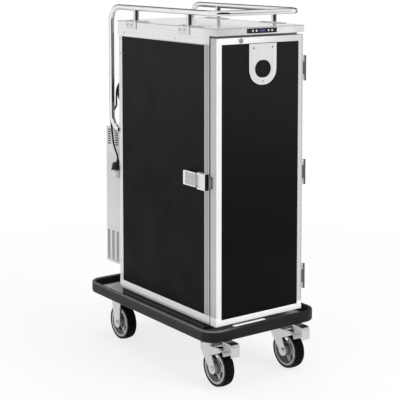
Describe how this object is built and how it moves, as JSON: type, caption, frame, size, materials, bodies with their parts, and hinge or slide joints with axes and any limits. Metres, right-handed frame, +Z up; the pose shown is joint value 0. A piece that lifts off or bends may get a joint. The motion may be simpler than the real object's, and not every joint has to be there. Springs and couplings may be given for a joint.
{
  "type": "refrigerated banquet trolley",
  "caption": "Tall refrigerated cabinet on a bumpered castor deck, with a side-hinged front door, roof gallery rail with push handles, rear cooling unit and coiled mains cord.",
  "frame": {"origin": "on the floor below the middle of the plan, brake pedals included", "axes": "+Z up, -Y to the front where the door is, +X to the door's hinge side"},
  "size_m": [0.54, 0.945, 1.45],
  "materials": {
    "steel": "satin stainless steel",
    "edge": "satin anodised profile",
    "panel": "matte charcoal laminate",
    "bumper": "matte moulded plastic",
    "deck": "grey coated steel",
    "frame": "dark coated steel",
    "zinc": "bright zinc plating",
    "rim": "grey moulded wheel centre",
    "tyre": "black rubber tyre",
    "foam": "insulating foam, hidden",
    "liner": "satin stainless lining",
    "bezel": "black gloss plastic",
    "display": "dark blue window",
    "button": "white plastic",
    "latch": "satin chrome",
    "hinge": "dark coated hinge",
    "seal": "black magnetic seal",
    "housing": "light grey coated sheet",
    "black": "black enamel",
    "fins": "aluminium fins",
    "copper": "copper tube",
    "fan": "moulded fan",
    "cord": "black cord sheath"
  },
  "bodies": {
    "cabinet": {"bumper": "bumper", "deck_plate": "deck", "plinth_frame": "frame", "castor_mounts": "zinc", "cabinet_frame": "edge", "side_skin_left": "panel", "side_skin_right": "panel", "outer_sheets": "steel", "cabinet_insulation": "foam", "inner_liner": "liner", "tray_runners": "liner", "wire_shelves": "steel", "top_cap": "steel", "control_bezel": "bezel", "display_window": "display", "gallery_rail": "steel", "rail_posts": "steel", "latch_body": "latch", "hinge_body_leaves": "hinge", "unit_housing": "housing", "unit_base": "frame", "compressor": "black", "condenser_coil": "fins", "fan_motors": "black", "refrigerant_pipes": "copper", "evaporator_coil": "fins", "evaporator_cover": "liner", "cord_gland": "cord", "cord_hooks": "steel", "cord_coil": "cord", "cord_run": "cord", "cord_plug": "cord"},
    "door": {"door_frame": "edge", "door_panel": "panel", "door_foam": "foam", "door_liner": "liner", "door_gasket": "seal", "card_plate": "steel", "hinge_door_leaves": "hinge", "latch_keeper": "hinge"},
    "latch_lever": {"latch_lever": "latch"},
    "lock": {"lock_barrel": "latch"},
    "button_1": {"button_1": "button"},
    "button_2": {"button_2": "button"},
    "button_3": {"button_3": "button"},
    "button_4": {"button_4": "button"},
    "condenser_fan": {"condenser_fan": "fan"},
    "evaporator_fan": {"evaporator_fan": "fan"},
    "fork_left": {"fork_left": "zinc"},
    "pedal_left": {"pedal_left": "zinc"},
    "fork_right": {"fork_right": "zinc"},
    "pedal_right": {"pedal_right": "zinc"},
    "wheel_front_left": {"wheel_front_left": "rim", "tyre_front_left": "tyre"},
    "wheel_front_right": {"wheel_front_right": "rim", "tyre_front_right": "tyre"},
    "wheel_rear_left": {"wheel_rear_left": "rim", "tyre_rear_left": "tyre"},
    "wheel_rear_right": {"wheel_rear_right": "rim", "tyre_rear_right": "tyre"}
  },
  "joints": [
    {"name": "door_hinge", "type": "hinge", "parent": "cabinet", "child": "door", "pos_m": [0.2235, -0.3985, 0.796], "axis": [0, 0, 1], "range_deg": [0, 270]},
    {"name": "latch_press", "type": "hinge", "parent": "cabinet", "child": "latch_lever", "pos_m": [-0.221, -0.3005, 0.797], "axis": [0, 0, 1], "range_deg": [0, 40], "stiffness_Nm_per_rad": 0.6},
    {"name": "lock_turn", "type": "hinge", "parent": "door", "child": "lock", "pos_m": [-0.098, -0.4005, 1.334], "axis": [0, 1, 0], "range_deg": [0, 90]},
    {"name": "button_1_press", "type": "slide", "parent": "cabinet", "child": "button_1", "axis": [0, 1, 0], "range_m": [0, 0.001], "stiffness_N_per_m": 200},
    {"name": "button_2_press", "type": "slide", "parent": "cabinet", "child": "button_2", "axis": [0, 1, 0], "range_m": [0, 0.001], "stiffness_N_per_m": 200},
    {"name": "button_3_press", "type": "slide", "parent": "cabinet", "child": "button_3", "axis": [0, 1, 0], "range_m": [0, 0.001], "stiffness_N_per_m": 200},
    {"name": "button_4_press", "type": "slide", "parent": "cabinet", "child": "button_4", "axis": [0, 1, 0], "range_m": [0, 0.001], "stiffness_N_per_m": 200},
    {"name": "condenser_fan_spin", "type": "hinge", "parent": "cabinet", "child": "condenser_fan", "pos_m": [0.088, 0.3625, 0.478], "axis": [0, 1, 0], "continuous": true},
    {"name": "evaporator_fan_spin", "type": "hinge", "parent": "cabinet", "child": "evaporator_fan", "pos_m": [0, 0.1985, 1.007], "axis": [0, 1, 0], "continuous": true},
    {"name": "fork_left_swivel", "type": "hinge", "parent": "cabinet", "child": "fork_left", "pos_m": [-0.175, -0.3245, 0.18], "axis": [0, 0, 1], "continuous": true},
    {"name": "pedal_left_press", "type": "hinge", "parent": "fork_left", "child": "pedal_left", "pos_m": [-0.175, -0.4125, 0.157], "axis": [1, 0, 0], "range_deg": [0, 12]},
    {"name": "wheel_front_left_spin", "type": "hinge", "parent": "fork_left", "child": "wheel_front_left", "pos_m": [-0.175, -0.3665, 0.075], "axis": [1, 0, 0], "continuous": true},
    {"name": "fork_right_swivel", "type": "hinge", "parent": "cabinet", "child": "fork_right", "pos_m": [0.175, -0.3245, 0.18], "axis": [0, 0, 1], "continuous": true},
    {"name": "pedal_right_press", "type": "hinge", "parent": "fork_right", "child": "pedal_right", "pos_m": [0.175, -0.4125, 0.157], "axis": [1, 0, 0], "range_deg": [0, 12]},
    {"name": "wheel_front_right_spin", "type": "hinge", "parent": "fork_right", "child": "wheel_front_right", "pos_m": [0.175, -0.3665, 0.075], "axis": [1, 0, 0], "continuous": true},
    {"name": "wheel_rear_left_spin", "type": "hinge", "parent": "cabinet", "child": "wheel_rear_left", "pos_m": [-0.175, 0.3275, 0.075], "axis": [1, 0, 0], "continuous": true},
    {"name": "wheel_rear_right_spin", "type": "hinge", "parent": "cabinet", "child": "wheel_rear_right", "pos_m": [0.175, 0.3275, 0.075], "axis": [1, 0, 0], "continuous": true}
  ]
}
